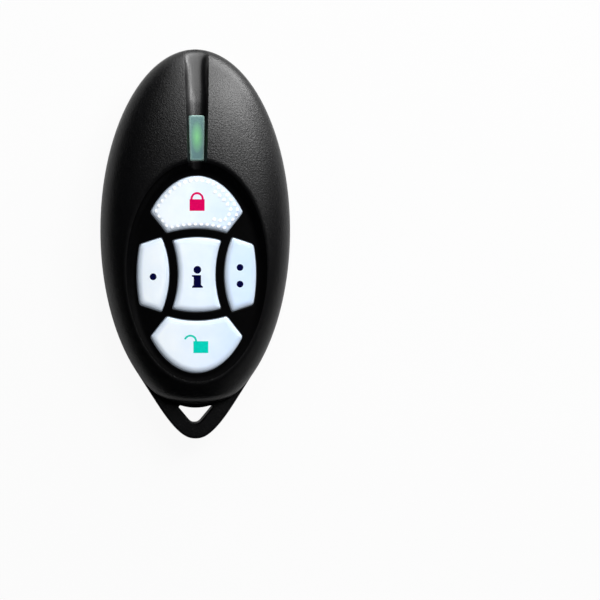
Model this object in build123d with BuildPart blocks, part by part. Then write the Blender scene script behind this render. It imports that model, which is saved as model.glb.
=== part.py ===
from build123d import *
from math import atan2, cos, degrees, radians, sin, sqrt, tan
import os

# Alarm key fob lying on its back, in millimetres. +Z comes out of its face,
# +Y runs towards the status light, and the origin is under the middle of its box.

# The fob as a whole
fob_length = 78.0
fob_width = 38.0
oval_y = 2.8                 # middle of the oval that the body follows, pointed end apart
crown_share = 0.62           # fullness of the crown's curve, 0.55 would be a plain ellipse
flank_angle = 32.6           # degrees between each straight flank and Y
tip_length = 7.0             # the rounded end of the tip, below the straight flanks
tip_flank_share = 0.95
tip_end_share = 0.55

# The two shells
parting_rise = 0.6           # the parting plane over the circuit board's underside
wall = 1.5
floor_thickness = 1.4
back_edge_radius = 2.5
seam_radius = 0.4
cavity_edge_radius = 1.2
end_shoulder = 1.5           # the front shell's lower end follows a second, narrower and blunter oval
end_half_length = 16.0
point_length = 6.95          # from the front shell's lower end to the tip
lip_thickness = 0.7
lip_height = 0.9
shell_clearance = 0.06
overrun = 1.0

# The eye for a key ring
eye_rim = 3.1
eye_height = 3.1
eye_corner_rise = 0.85
eye_tip_radius = 1.5
eye_corner_radius = 0.3
eye_half_angle = 40.0
eye_edge_radius = 0.3

# The sunken keypad deck
groove_length = 24.0         # from the top end down to the deck
keypad_low_band = 5.05       # shell between the deck and the front shell's lower end
keypad_shoulder = 6.0        # shell on each side of the deck
keypad_sink = 2.5            # how far the deck's middle lies under the crown's top
deck_tilt = 2.2              # degrees, the deck rises towards the light
deck_bow_radius = 90.0       # its gentle bow across the fob
deck_thickness = 1.3
recess_lean_share = 1.0      # how far the recess's wall leans out for each millimetre up
recess_rim_width = 1.4
deck_corner_radius = 0.5

# The keys
keys_side_margin = 1.2       # deck left beside and beyond the keys
keys_end_margin = 1.5
key_gap = 1.9
key_corner_radius = 0.4
key_proud = 0.5
key_edge_radius = 0.3
key_clearance = 0.15
key_travel = 0.65
flange_width = 0.5
flange_thickness = 1.62      # under the deck's middle
flange_clearance = 0.08
info_waist_share = 0.3085    # the middle key's waist, in the half width of all the keys
info_waist_radius = 20.4
info_length_share = 0.377    # its half length, in the half length of all the keys
info_end_radius = 18.0
slant_shares = (0.494, 0.421)        # inner end of the lock key's slanting sides
slant_angle = 51.7
side_key_shares = (0.6314, 0.3697)   # inner end of the side keys' sloping ends
side_key_angle = 18.3

# The groove and its light guide
groove_depth = 1.35
groove_end_depth = 0.15
groove_top_half_width = 2.6
groove_low_half_width = 1.9
groove_floor_radius = 0.45
window_low_gap = 1.6         # groove floor between the deck and the light guide
window_screw_gap = 3.4       # between the light guide and the upper screw's boss
window_top_half_width = 1.62
window_low_half_width = 1.37
window_corner_radius = 0.25
window_proud = 0.12
window_clearance = 0.04
window_flange = 0.5
window_lamp_gap = 0.6
window_foot_height = 0.7

# The circuit board, the mat on it and what moves with the keys
board_thickness = 1.0
board_top_inset = 11.6       # from the fob's ends to the board's
board_low_inset = 13.0
board_clearance = 0.25
mat_thickness = 0.8
mat_margin = 1.9
mat_inset = 0.4
pad_radius = 1.9
pad_thickness = 0.05
bell_shares = (0.737, 0.728)         # places of the outer keys' bells
bell_base_radius = 2.7
bell_wall = 0.35
bell_height = 1.0
plunger_radius = 1.9
plunger_plate_radius = 2.5
plunger_plate_thickness = 0.3
pill_radius = 1.5
pill_thickness = 0.35

# Posts, bosses and screws
mat_post_radius = 0.9
mat_post_shares = (0.839, 0.4615)
board_post_radius = 1.1
board_post_shares = ((0.78, 0.705), (0.74, 0.305), (0.46, 0.035), (0.56, 0.97))
upper_screw_inset = 8.1      # from the fob's ends to the screws
lower_screw_inset = 10.7
boss_radius = 1.9
boss_drop = 2.0              # how far the bosses reach below the parting plane
column_radius = 2.8
pilot_radius = 0.92
pilot_depth = 4.6
screw_hole_radius = 1.25
screw_recess_radius = 2.0
screw_recess_depth = 2.2
screw_head_radius = 1.85
screw_head_height = 1.3
screw_shank_radius = 0.9
screw_shank_length = 6.0
screw_point_length = 0.8
drive_width = 0.5
drive_length = 2.2
drive_depth = 0.7

# The cell and what holds it
cell_radius = 10.0
cell_height = 3.2
cell_cap_radius = 8.8
cell_cap_height = 0.3
cell_edge_radius = 0.25
cell_inset = 25.4            # from the board's top end down to the cell's middle
contact_height = 0.4
contact_thickness = 0.2
contact_radius = 4.0
contact_dimple_radius = 1.6
strap_thickness = 0.25
strap_width = 7.0
strap_clearance = 0.15
strap_foot = 1.8
nest_wall = 0.9
nest_height = 1.6
nest_clearance = 0.3
nest_opening = 9.0

# The electronics, placed from the board's top end
led_length = 3.2
led_width = 1.6
led_base_height = 0.5
led_lens_height = 0.7
led_lens_margin = 0.25
led_lens_radius = 0.3
controller_length = 7.2
controller_width = 5.3
controller_height = 1.75
controller_standoff = 0.1
controller_x = -5.0
controller_inset = 7.4
controller_edge = 0.25
lead_count = 10
lead_pitch = 0.65
lead_width = 0.3
lead_reach = 1.0
lead_foot = 0.5
lead_thickness = 0.2
radio_size = 5.0
radio_height = 0.9
radio_x = 5.2
radio_inset = 9.0
radio_edge = 0.15
crystal_length = 5.0
crystal_width = 3.2
crystal_height = 1.1
crystal_x = 5.2
crystal_inset = 3.4
crystal_corner_radius = 0.6
passive_length = 1.6
passive_width = 0.8
passive_height = 0.45
passive_edge = 0.06
passive_pitch = 2.4
passive_count = 5
passive_inset = 12.5
track_width = 1.2
track_thickness = 0.07
track_inset = 0.8
track_length = 10.9

# Places along and across the fob that follow from these
half_width = fob_width / 2
half_length = fob_length / 2
oval_half_length = half_length - oval_y
end_half_width = half_width - end_shoulder
end_y = end_half_length + point_length - half_length
groove_low_y = half_length - groove_length
deck_low_y = point_length + keypad_low_band - half_length
keypad_y = (groove_low_y + deck_low_y) / 2
deck_half_length = (groove_low_y - deck_low_y) / 2
deck_half_width = half_width - keypad_shoulder
keys_half_length = deck_half_length - keys_end_margin
keys_half_width = deck_half_width - keys_side_margin
info_half_length = keys_half_length * info_length_share
info_end_offset = info_end_radius - info_half_length
waist_offset = info_waist_radius + keys_half_width * info_waist_share
upper_screw_y = half_length - upper_screw_inset
screw_places = ((0, upper_screw_y), (0, lower_screw_inset - half_length))
window_top_y = upper_screw_y - boss_radius - window_screw_gap
window_low_y = groove_low_y + window_low_gap
board_top_y = half_length - board_top_inset
board_low_y = board_low_inset - half_length
led_y = (window_top_y + window_low_y) / 2
cell_y = board_top_y - cell_inset
nest_inner_radius = cell_radius + strap_clearance + strap_thickness + nest_clearance
key_names = ("info_key", "lock_key", "unlock_key", "one_dot_key", "two_dot_key")
bell_x, bell_y = keys_half_width * bell_shares[0], keys_half_length * bell_shares[1]
bell_places = {
    "info_key": (0, keypad_y),
    "lock_key": (0, keypad_y + bell_y),
    "unlock_key": (0, keypad_y - bell_y),
    "one_dot_key": (-bell_x, keypad_y),
    "two_dot_key": (bell_x, keypad_y),
}

# Heights, stacked up from the back
cell_base = floor_thickness + strap_clearance + strap_thickness
board_base = cell_base + cell_height + contact_height
board_top = board_base + board_thickness
mat_top = board_top + mat_thickness
bell_top = mat_top + bell_height
pill_base = board_top + pad_thickness + pad_thickness + key_travel
plunger_base = pill_base + pill_thickness
cap_base = bell_top + plunger_plate_thickness
deck_height = cap_base + flange_thickness + flange_clearance + deck_thickness
crown_height = deck_height + keypad_sink
parting_height = board_base + parting_rise
crown_rise = crown_height - parting_height
column_height = parting_height - boss_drop
window_base = board_top + led_base_height + led_lens_height + window_lamp_gap
deck_bow_drop = deck_bow_radius - sqrt(deck_bow_radius ** 2 - deck_half_width ** 2)

os.makedirs("parts", exist_ok=True)


def level(height):
    """The plane at one height over the back."""
    return Plane.XY.offset(height)


def keypad_level(height):
    """The plane at one height, with its middle in the middle of the keypad."""
    return Plane((0, keypad_y, height))


# Plans

def oval(inset):
    """Plan of the front shell, drawn in by inset."""
    with BuildSketch() as plan:
        with BuildSketch(mode=Mode.PRIVATE) as beyond:
            with Locations((0, end_y)):
                Rectangle(fob_width, fob_length, align=(Align.CENTER, Align.MAX))
                Ellipse(end_half_width - inset, end_half_length - inset, mode=Mode.SUBTRACT)
        with Locations((0, oval_y)):
            Ellipse(half_width - inset, oval_half_length - inset)
        add(beyond.sketch, mode=Mode.SUBTRACT)
    return plan.sketch


def body_outline():
    """The fob's whole plan: the oval, straight flanks and a rounded tip."""
    slope = tan(radians(flank_angle))
    leave_angle = atan2(oval_half_length * slope, half_width)
    leave_x = half_width * cos(leave_angle)
    leave_y = oval_y - oval_half_length * sin(leave_angle)
    tip_y = tip_length - half_length
    tip_half_width = leave_x - (leave_y - tip_y) * slope
    corner_x = tip_half_width - tip_length * slope
    flank_x = tip_half_width + (corner_x - tip_half_width) * tip_flank_share
    flank_y = tip_y - tip_length * tip_flank_share
    end_x = corner_x * (1 - tip_end_share)
    with BuildSketch() as plan:
        with BuildLine():
            EllipticalCenterArc((0, oval_y), half_width, oval_half_length,
                                start_angle=-degrees(leave_angle), arc_size=90 + degrees(leave_angle))
            Line((leave_x, leave_y), (tip_half_width, tip_y))
            Bezier((tip_half_width, tip_y), (flank_x, flank_y), (end_x, -half_length), (0, -half_length))
            mirror(about=Plane.YZ)
        make_face()
    return plan.sketch


def board_plan(inset):
    """Plan of the circuit board, drawn in by inset."""
    with BuildSketch() as plan:
        add(oval(wall + board_clearance + inset))
        with Locations((0, board_low_y + inset)):
            Rectangle(fob_width, board_top_y - board_low_y - 2 * inset,
                      align=(Align.CENTER, Align.MIN), mode=Mode.INTERSECT)
    return plan.sketch


def info_key_plan(grow):
    """The waisted key in the middle, made larger all round by grow."""
    with BuildSketch() as plan:
        with Locations((0, -info_end_offset)):
            Circle(info_end_radius + grow)
        with Locations((0, info_end_offset)):
            Circle(info_end_radius + grow, mode=Mode.INTERSECT)
        with Locations((-waist_offset, 0), (waist_offset, 0)):
            Circle(info_waist_radius - grow, mode=Mode.SUBTRACT)
        fillet(plan.vertices(), key_corner_radius)
    return plan.sketch


def end_key_plan(grow, end):
    """The key above the middle one, or below it where end is -1."""
    angle = radians(slant_angle)
    slant_x = keys_half_width * slant_shares[0] + grow * sin(angle)
    slant_y = keys_half_length * slant_shares[1] - grow * cos(angle)
    with BuildSketch() as plan:
        Ellipse(keys_half_width + grow, keys_half_length + grow)
        with Locations((0, -end * info_end_offset)):
            Circle(info_end_radius + key_gap - grow, mode=Mode.SUBTRACT)
        for side in (-1, 1):
            inner_side = Align.MAX if end > 0 else Align.MIN
            with Locations(Location((side * slant_x, end * slant_y), side * end * slant_angle)):
                Rectangle(fob_length, fob_length, align=(Align.CENTER, inner_side), mode=Mode.SUBTRACT)
        fillet(plan.vertices(), key_corner_radius)
    return plan.sketch


def side_key_plan(grow, side):
    """The key on the right of the middle one, or on its left where side is -1."""
    angle = radians(side_key_angle)
    corner_x = keys_half_width * side_key_shares[0] + grow * sin(angle)
    corner_y = keys_half_length * side_key_shares[1] + grow * cos(angle)
    with BuildSketch() as plan:
        Ellipse(keys_half_width + grow, keys_half_length + grow)
        with Locations((side * waist_offset, 0)):
            Circle(info_waist_radius - key_gap + grow, mode=Mode.INTERSECT)
        with Locations(Location((side * corner_x, corner_y), -side * side_key_angle)):
            Rectangle(fob_length, fob_length, align=(Align.CENTER, Align.MIN), mode=Mode.SUBTRACT)
        with Locations(Location((side * corner_x, -corner_y), side * side_key_angle)):
            Rectangle(fob_length, fob_length, align=(Align.CENTER, Align.MAX), mode=Mode.SUBTRACT)
        fillet(plan.vertices(), key_corner_radius)
    return plan.sketch


def key_plan(key, grow):
    """Plan of the key with this name."""
    if key == "info_key":
        return info_key_plan(grow)
    if key == "lock_key":
        return end_key_plan(grow, 1)
    if key == "unlock_key":
        return end_key_plan(grow, -1)
    return side_key_plan(grow, -1 if key == "one_dot_key" else 1)


def window_plan(grow):
    """Plan of the tapering light guide."""
    top, low = window_top_half_width + grow, window_low_half_width + grow
    with BuildSketch() as plan:
        Polygon((-top, window_top_y + grow), (top, window_top_y + grow),
                (low, window_low_y - grow), (-low, window_low_y - grow), align=None)
        fillet(plan.vertices(), window_corner_radius)
    return plan.sketch


def groove_plan(grow):
    """Plan of the groove, which widens towards the top and runs out over it."""
    top, low = groove_top_half_width + grow, groove_low_half_width + grow
    with BuildSketch() as plan:
        Polygon((-top, half_length + overrun), (top, half_length + overrun),
                (low, groove_low_y - grow), (-low, groove_low_y - grow), align=None)
    return plan.sketch


# Forms that several pieces share

def dome(dome_half_width, dome_half_length, rise, middle_y):
    """A unit quarter curve spun round Z, stretched to three sizes, on the parting plane."""
    with BuildPart() as unit:
        with BuildSketch(Plane.XZ):
            with BuildLine():
                Line((0, 0), (1, 0))
                Bezier((1, 0), (1, crown_share), (crown_share, 1), (0, 1))
                Line((0, 1), (0, 0))
            make_face()
        revolve(axis=Axis.Z)
    stretched = unit.part.scale((dome_half_width, dome_half_length, rise))
    return stretched.moved(Location((0, middle_y, parting_height)))


def crown(inset):
    """The front shell's smooth form, drawn in by inset, with its blunter lower end."""
    with BuildPart() as beyond:
        with BuildSketch(level(parting_height)):
            with Locations((0, end_y)):
                Rectangle(fob_width, fob_length, align=(Align.CENTER, Align.MAX))
        extrude(amount=crown_height)
        add(dome(end_half_width - inset, end_half_length - inset, crown_rise - inset, end_y),
            mode=Mode.SUBTRACT)
    with BuildPart() as form:
        add(dome(half_width - inset, oval_half_length - inset, crown_rise - inset, oval_y))
        add(beyond.part, mode=Mode.SUBTRACT)
    return form.part


def under_deck(rise):
    """Everything under the bowed and tilted deck surface, moved up by rise."""
    tilt = radians(deck_tilt)
    axis_y = keypad_y + deck_bow_radius * sin(tilt)
    axis_z = deck_height - deck_bow_radius * cos(tilt)
    with BuildPart() as form:
        with BuildSketch(Plane((0, axis_y, axis_z), x_dir=(1, 0, 0), z_dir=(0, cos(tilt), sin(tilt)))):
            Circle(deck_bow_radius + rise)
        extrude(amount=fob_length, both=True)
    return form.part


def under_groove(rise):
    """Everything under the groove's floor, moved up by rise."""
    reach = oval_half_length - groove_end_depth + rise
    top = parting_height + crown_rise - groove_depth + rise
    end = oval_y + reach
    with BuildPart() as form:
        with BuildSketch(Plane.YZ):
            with BuildLine():
                Line((oval_y - reach, parting_height), (end, parting_height))
                Bezier((end, parting_height),
                       (end, parting_height + crown_share * (top - parting_height)),
                       (oval_y + crown_share * reach, top), (oval_y, top))
                Polyline((oval_y, top), (oval_y - reach, top), (oval_y - reach, parting_height))
            make_face()
        extrude(amount=half_width, both=True)
    return form.part


def recess_plan(rise):
    """The recess's oval on the deck's tilted plane, moved up by rise; its wall leans out."""
    tilt = radians(deck_tilt)
    middle = (0, keypad_y - rise * sin(tilt), deck_height + rise * cos(tilt))
    with BuildSketch(Plane(middle, x_dir=(1, 0, 0), z_dir=(0, -sin(tilt), cos(tilt)))) as plan:
        Ellipse(deck_half_width + recess_lean_share * (rise + deck_bow_drop),
                deck_half_length + recess_lean_share * rise)
    return plan.sketch


# The front shell
with BuildPart() as recess:
    loft([recess_plan(-deck_bow_drop - overrun), recess_plan(crown_height - deck_height + overrun)],
         ruled=True)
    add(under_deck(0), mode=Mode.SUBTRACT)
    fillet(recess.faces().sort_by(Axis.Z)[0].edges(), deck_corner_radius)

with BuildPart() as groove:
    with BuildSketch(level(parting_height)):
        add(groove_plan(0))
    extrude(amount=crown_height)
    add(under_groove(0), mode=Mode.SUBTRACT)
    fillet(groove.edges().filter_by(GeomType.LINE, reverse=True), groove_floor_radius)

with BuildPart() as deck_block:
    with BuildSketch(keypad_level(parting_height)):
        Ellipse(deck_half_width + recess_rim_width + wall, deck_half_length + recess_rim_width + wall)
    extrude(amount=crown_height)
    add(under_deck(-deck_thickness), mode=Mode.SUBTRACT)

with BuildPart() as groove_block:
    with BuildSketch(level(parting_height)):
        add(groove_plan(wall))
    extrude(amount=crown_height)
    add(under_groove(-wall), mode=Mode.SUBTRACT)

with BuildPart() as cavity:
    add(crown(wall))
    add(deck_block.part, mode=Mode.SUBTRACT)
    add(groove_block.part, mode=Mode.SUBTRACT)
    with BuildSketch(level(parting_height)):
        with Locations(*screw_places):
            Circle(boss_radius)
    extrude(amount=crown_height, mode=Mode.SUBTRACT)
    with BuildSketch(keypad_level(mat_top)):
        with GridLocations(2 * keys_half_width * mat_post_shares[0],
                           2 * keys_half_length * mat_post_shares[1], 2, 2):
            Circle(mat_post_radius)
    extrude(amount=crown_height, mode=Mode.SUBTRACT)

with BuildPart() as front_shell:
    add(crown(0))
    add(cavity.part, mode=Mode.SUBTRACT)
    add(recess.part, mode=Mode.SUBTRACT)
    add(groove.part, mode=Mode.SUBTRACT)
    # the rabbet that takes the rear shell's lip
    with BuildSketch(level(parting_height)):
        add(oval(wall - lip_thickness - shell_clearance))
        add(oval(wall + lip_thickness), mode=Mode.SUBTRACT)
    extrude(amount=lip_height + shell_clearance, mode=Mode.SUBTRACT)
    # the screw bosses, which reach down into the rear shell
    with BuildSketch(level(column_height)):
        with Locations(*screw_places):
            Circle(boss_radius)
    extrude(amount=parting_height - column_height)
    with BuildSketch(level(column_height)):
        with Locations(*screw_places):
            Circle(pilot_radius)
    extrude(amount=pilot_depth, mode=Mode.SUBTRACT)
    with BuildSketch(level(parting_height)):
        add(window_plan(window_clearance))
    extrude(amount=crown_height, mode=Mode.SUBTRACT)
    with BuildSketch(keypad_level(parting_height)):
        for key in key_names:
            add(key_plan(key, key_clearance))
    extrude(amount=crown_height, mode=Mode.SUBTRACT)
front_shell.part.label = "front_shell"
export_step(front_shell.part, "parts/front_shell.step")

# The rear shell, with the pointed end that carries the key-ring eye
with BuildPart() as tray:
    with BuildSketch(level(floor_thickness)):
        add(oval(wall))
    extrude(amount=parting_height)
    fillet(tray.faces().sort_by(Axis.Z)[0].edges(), cavity_edge_radius)

with BuildPart() as eye:
    eye_bottom_y = eye_rim - half_length
    eye_top_y = eye_bottom_y + eye_height
    eye_corner_y = eye_top_y + eye_corner_rise
    eye_apex_y = eye_bottom_y + eye_tip_radius - eye_tip_radius / sin(radians(eye_half_angle))
    eye_half_width = (eye_corner_y - eye_apex_y) * tan(radians(eye_half_angle))
    with BuildSketch() as eye_plan:
        with BuildLine():
            ThreePointArc((-eye_half_width, eye_corner_y), (0, eye_top_y), (eye_half_width, eye_corner_y))
            Polyline((eye_half_width, eye_corner_y), (0, eye_apex_y), (-eye_half_width, eye_corner_y))
        make_face()
        fillet(eye_plan.vertices().sort_by(Axis.Y)[0], eye_tip_radius)
        fillet(eye_plan.vertices().sort_by(Axis.Y)[-2:], eye_corner_radius)
    extrude(amount=parting_height)

with BuildPart() as nest:
    with BuildSketch(level(floor_thickness)):
        with Locations((0, cell_y)):
            Circle(nest_inner_radius + nest_wall)
            Circle(nest_inner_radius, mode=Mode.SUBTRACT)
            Rectangle(fob_width, nest_opening, mode=Mode.SUBTRACT)
    extrude(amount=nest_height)

with BuildPart() as rear_shell:
    with BuildSketch():
        add(body_outline())
    extrude(amount=parting_height)
    fillet(rear_shell.faces().sort_by(Axis.Z)[0].edges(), back_edge_radius)
    fillet(rear_shell.faces().sort_by(Axis.Z)[-1].edges(), seam_radius)
    add(tray.part, mode=Mode.SUBTRACT)
    add(eye.part, mode=Mode.SUBTRACT)
    eye_edges = rear_shell.edges().filter_by(
        lambda edge: edge.center().Y < eye_corner_y and abs(edge.center().X) < eye_half_width
        and edge.bounding_box().size.Z < eye_edge_radius and edge.bounding_box().min.Y > eye_apex_y)
    chamfer(eye_edges, eye_edge_radius)
    # the lip that lines the two shells up
    with BuildSketch(level(parting_height - lip_height)):
        add(oval(wall - lip_thickness))
        add(oval(wall), mode=Mode.SUBTRACT)
    extrude(amount=2 * lip_height)
    add(nest.part)
    # posts under the circuit board, and columns round the screws
    with BuildSketch(level(floor_thickness)):
        for share_x, share_y in board_post_shares:
            post_y = board_low_y + share_y * (board_top_y - board_low_y)
            with Locations((share_x * half_width, post_y), (-share_x * half_width, post_y)):
                Circle(board_post_radius)
    extrude(amount=board_base - floor_thickness)
    with BuildSketch(level(floor_thickness)):
        with Locations(*screw_places):
            Circle(column_radius)
    extrude(amount=column_height - floor_thickness)
    with BuildSketch():
        with Locations(*screw_places):
            Circle(screw_recess_radius)
    extrude(amount=screw_recess_depth, mode=Mode.SUBTRACT)
    with BuildSketch():
        with Locations(*screw_places):
            Circle(screw_hole_radius)
    extrude(amount=column_height, mode=Mode.SUBTRACT)
rear_shell.part.label = "rear_shell"
export_step(rear_shell.part, "parts/rear_shell.step")

# The light guide, with a flange that keeps it under the groove's floor
with BuildPart() as window_foot:
    with BuildSketch(level(window_base)):
        add(window_plan(window_flange))
    extrude(amount=crown_height)
    add(under_groove(-wall - flange_clearance), mode=Mode.INTERSECT)
    add(under_groove(-wall - flange_clearance - window_foot_height), mode=Mode.SUBTRACT)

with BuildPart() as status_window:
    with BuildSketch(level(window_base)):
        add(window_plan(0))
    extrude(amount=crown_height)
    add(under_groove(window_proud), mode=Mode.INTERSECT)
    add(window_foot.part)
status_window.part.label = "status_window"
export_step(status_window.part, "parts/status_window.step")

# The keycaps: a block that fills its opening and a flange that stays under the deck
for key in key_names:
    with BuildPart() as cap:
        with BuildSketch(keypad_level(cap_base)):
            add(key_plan(key, 0))
        extrude(amount=crown_height)
        add(under_deck(key_proud), mode=Mode.INTERSECT)
        fillet(cap.faces().sort_by(Axis.Z)[-1].edges(), key_edge_radius)
    with BuildPart() as flange:
        with BuildSketch(keypad_level(cap_base)):
            add(key_plan(key, flange_width))
        extrude(amount=crown_height)
        add(under_deck(-deck_thickness - flange_clearance), mode=Mode.INTERSECT)
    with BuildPart() as keycap:
        add(cap.part)
        add(flange.part)
    keycap.part.label = key
    export_step(keycap.part, f"parts/{key}.step")

# The silicone under each key: a thin cone, a post with a plate for the cap, and a contact pill
for key, place in bell_places.items():
    with BuildPart() as bell:
        with BuildSketch(Plane.XZ.offset(-place[1])):
            with Locations((place[0], 0)):
                Polygon((bell_base_radius, mat_top), (bell_base_radius - bell_wall, mat_top),
                        (plunger_radius, bell_top), (plunger_radius + bell_wall, bell_top), align=None)
        revolve(axis=Axis((place[0], place[1], 0), (0, 0, 1)))
    bell.part.label = f"{key}_bell"
    export_step(bell.part, f"parts/{key}_bell.step")

    with BuildPart() as plunger:
        with BuildSketch(level(plunger_base)):
            with Locations(place):
                Circle(plunger_radius)
        extrude(amount=cap_base - plunger_base)
        with BuildSketch(level(bell_top)):
            with Locations(place):
                Circle(plunger_plate_radius)
        extrude(amount=cap_base - bell_top)
    plunger.part.label = f"{key}_plunger"
    export_step(plunger.part, f"parts/{key}_plunger.step")

    with BuildPart() as pill:
        with BuildSketch(level(pill_base)):
            with Locations(place):
                Circle(pill_radius)
        extrude(amount=pill_thickness)
    pill.part.label = f"{key}_pill"
    export_step(pill.part, f"parts/{key}_pill.step")

# The silicone mat, open under each key
with BuildPart() as keypad_mat:
    with BuildSketch(keypad_level(board_top)):
        Ellipse(keys_half_width + mat_margin, keys_half_length + mat_margin)
    extrude(amount=mat_thickness)
    with BuildSketch(level(board_top)):
        add(board_plan(mat_inset))
    extrude(amount=mat_thickness, mode=Mode.INTERSECT)
    with BuildSketch(level(board_top)):
        with Locations(*bell_places.values()):
            Circle(bell_base_radius - bell_wall)
    extrude(amount=mat_thickness, mode=Mode.SUBTRACT)
keypad_mat.part.label = "keypad_mat"
export_step(keypad_mat.part, "parts/keypad_mat.step")

# The circuit board and its printed fields
with BuildPart() as pcb:
    with BuildSketch(level(board_base)):
        add(board_plan(0))
    extrude(amount=board_thickness)
pcb.part.label = "pcb"
export_step(pcb.part, "parts/pcb.step")

with BuildPart() as contact_pads:
    with BuildSketch(level(board_top)):
        with Locations(*bell_places.values()):
            Circle(pad_radius)
    extrude(amount=pad_thickness)
contact_pads.part.label = "contact_pads"
export_step(contact_pads.part, "parts/contact_pads.step")

with BuildPart() as antenna_track:
    with BuildSketch(level(board_top)):
        add(board_plan(track_inset))
        add(board_plan(track_inset + track_width), mode=Mode.SUBTRACT)
        with Locations((0, board_top_y - track_length)):
            Rectangle(fob_width, fob_length, align=(Align.CENTER, Align.MAX), mode=Mode.SUBTRACT)
    extrude(amount=track_thickness)
antenna_track.part.label = "antenna_track"
export_step(antenna_track.part, "parts/antenna_track.step")

# The lamp under the light guide
with BuildPart() as status_led:
    with BuildSketch(level(board_top)):
        with Locations((0, led_y)):
            Rectangle(led_width, led_length)
    extrude(amount=led_base_height)
    with BuildSketch(level(board_top + led_base_height)):
        with Locations((0, led_y)):
            Rectangle(led_width - 2 * led_lens_margin, led_length - 2 * led_lens_margin)
    extrude(amount=led_lens_height)
    fillet(status_led.faces().sort_by(Axis.Z)[-1].edges(), led_lens_radius)
status_led.part.label = "status_led"
export_step(status_led.part, "parts/status_led.step")

# The chips, crystal and passives on the board's underside
with BuildPart() as controller_chip:
    controller_base = board_base - controller_standoff - controller_height
    controller_y = board_top_y - controller_inset
    lead_middle = controller_base + controller_height / 2
    with BuildSketch(level(controller_base)):
        with Locations((controller_x, controller_y)):
            Rectangle(controller_width, controller_length)
    extrude(amount=controller_height)
    chamfer(controller_chip.faces().sort_by(Axis.Z)[0].edges(), controller_edge)
    for side in (-1, 1):
        body_edge = controller_x + side * controller_width / 2
        with BuildSketch(level(board_base - lead_thickness)):
            with Locations((body_edge + side * (lead_reach - lead_foot / 2), controller_y)):
                with GridLocations(0, lead_pitch, 1, lead_count):
                    Rectangle(lead_foot, lead_width)
        extrude(amount=lead_thickness)
        with BuildSketch(level(lead_middle)):
            with Locations((body_edge + side * (lead_reach - lead_foot), controller_y)):
                with GridLocations(0, lead_pitch, 1, lead_count):
                    Rectangle(lead_thickness, lead_width)
        extrude(amount=board_base - lead_middle)
        with BuildSketch(level(lead_middle)):
            with Locations((body_edge + side * (lead_reach - lead_foot) / 2, controller_y)):
                with GridLocations(0, lead_pitch, 1, lead_count):
                    Rectangle(lead_reach - lead_foot + lead_thickness, lead_width)
        extrude(amount=lead_thickness)
controller_chip.part.label = "controller_chip"
export_step(controller_chip.part, "parts/controller_chip.step")

with BuildPart() as radio_chip:
    with BuildSketch(level(board_base - radio_height)):
        with Locations((radio_x, board_top_y - radio_inset)):
            Rectangle(radio_size, radio_size)
    extrude(amount=radio_height)
    chamfer(radio_chip.faces().sort_by(Axis.Z)[0].edges(), radio_edge)
radio_chip.part.label = "radio_chip"
export_step(radio_chip.part, "parts/radio_chip.step")

with BuildPart() as crystal:
    with BuildSketch(level(board_base - crystal_height)):
        with Locations((crystal_x, board_top_y - crystal_inset)):
            RectangleRounded(crystal_length, crystal_width, crystal_corner_radius)
    extrude(amount=crystal_height)
crystal.part.label = "crystal"
export_step(crystal.part, "parts/crystal.step")

with BuildPart() as passives:
    with BuildSketch(level(board_base - passive_height)):
        with Locations((0, board_top_y - passive_inset)):
            with GridLocations(passive_pitch, 0, passive_count, 1):
                Rectangle(passive_length, passive_width)
    extrude(amount=passive_height)
    chamfer(passives.edges().filter_by(Axis.Y).group_by(Axis.Z)[0], passive_edge)
passives.part.label = "passives"
export_step(passives.part, "parts/passives.step")

# The cell, its contact plate and the sprung strap that holds it
with BuildPart() as coin_cell:
    with BuildSketch(level(cell_base)):
        with Locations((0, cell_y)):
            Circle(cell_radius)
    extrude(amount=cell_height - cell_cap_height)
    fillet(coin_cell.edges(), cell_edge_radius)
    with BuildSketch(level(cell_base + cell_height - cell_cap_height)):
        with Locations((0, cell_y)):
            Circle(cell_cap_radius)
    extrude(amount=cell_cap_height)
coin_cell.part.label = "coin_cell"
export_step(coin_cell.part, "parts/coin_cell.step")

with BuildPart() as negative_contact:
    with BuildSketch(level(board_base - contact_thickness)):
        with Locations((0, cell_y)):
            Circle(contact_radius)
    extrude(amount=contact_thickness)
    with BuildSketch(level(board_base - contact_height)):
        with Locations((0, cell_y)):
            Circle(contact_dimple_radius)
    extrude(amount=contact_height - contact_thickness)
negative_contact.part.label = "negative_contact"
export_step(negative_contact.part, "parts/negative_contact.step")

with BuildPart() as battery_retainer:
    leg_x = cell_radius + strap_clearance
    strap_base = cell_base - strap_thickness
    with BuildSketch(Plane.XZ.offset(-cell_y)):
        with Locations((0, strap_base)):
            Rectangle(2 * (leg_x + strap_thickness), strap_thickness, align=(Align.CENTER, Align.MIN))
        for side, inner in ((-1, Align.MAX), (1, Align.MIN)):
            with Locations((side * leg_x, strap_base)):
                Rectangle(strap_thickness, board_base - strap_base, align=(inner, Align.MIN))
            with Locations((side * leg_x, board_base)):
                Rectangle(strap_foot, strap_thickness, align=(inner, Align.MAX))
    extrude(amount=strap_width / 2, both=True)
battery_retainer.part.label = "battery_retainer"
export_step(battery_retainer.part, "parts/battery_retainer.step")

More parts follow.
